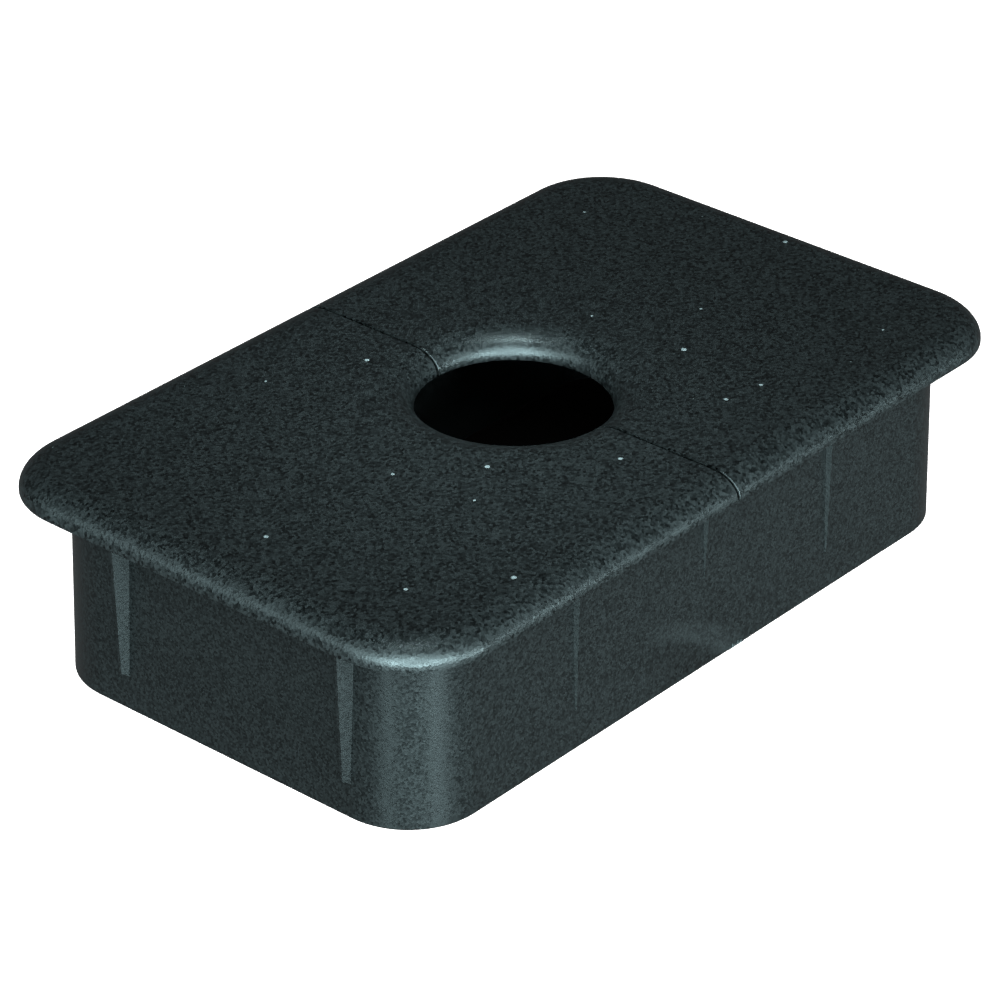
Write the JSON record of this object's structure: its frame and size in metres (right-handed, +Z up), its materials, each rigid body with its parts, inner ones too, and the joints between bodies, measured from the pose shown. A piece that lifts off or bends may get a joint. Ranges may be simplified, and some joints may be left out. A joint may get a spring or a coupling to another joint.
{
  "type": "desk grommet",
  "caption": "Rectangular desk cable grommet with an open sleeve, tapered grip ribs and a split lift-off cover with a rounded cable hole.",
  "frame": {"origin": "centre of the cable hole, in the plane of the worktop's upper face (the underside of the cover's edge and of the sleeve's rim)", "axes": "+X along the length from the left cover half to the right one, square to the seam; +Y along the width, along the seam; +Z upwards out of the worktop"},
  "size_m": [0.13, 0.0798, 0.0318],
  "materials": {
    "sleeve_plastic": "smooth semi-matt black moulded plastic",
    "cover_plastic": "fine spark-eroded matt black plastic"
  },
  "bodies": {
    "sleeve": {"sleeve": "sleeve_plastic"},
    "cover_left": {"cover_half_left": "cover_plastic"},
    "cover_right": {"cover_half_right": "cover_plastic"}
  },
  "joints": [
    {"name": "cover_left_lift", "type": "slide", "parent": "sleeve", "child": "cover_left", "axis": [0, 0, 1], "range_m": [0, 0.025]},
    {"name": "cover_right_lift", "type": "slide", "parent": "sleeve", "child": "cover_right", "axis": [0, 0, 1], "range_m": [0, 0.025]}
  ]
}
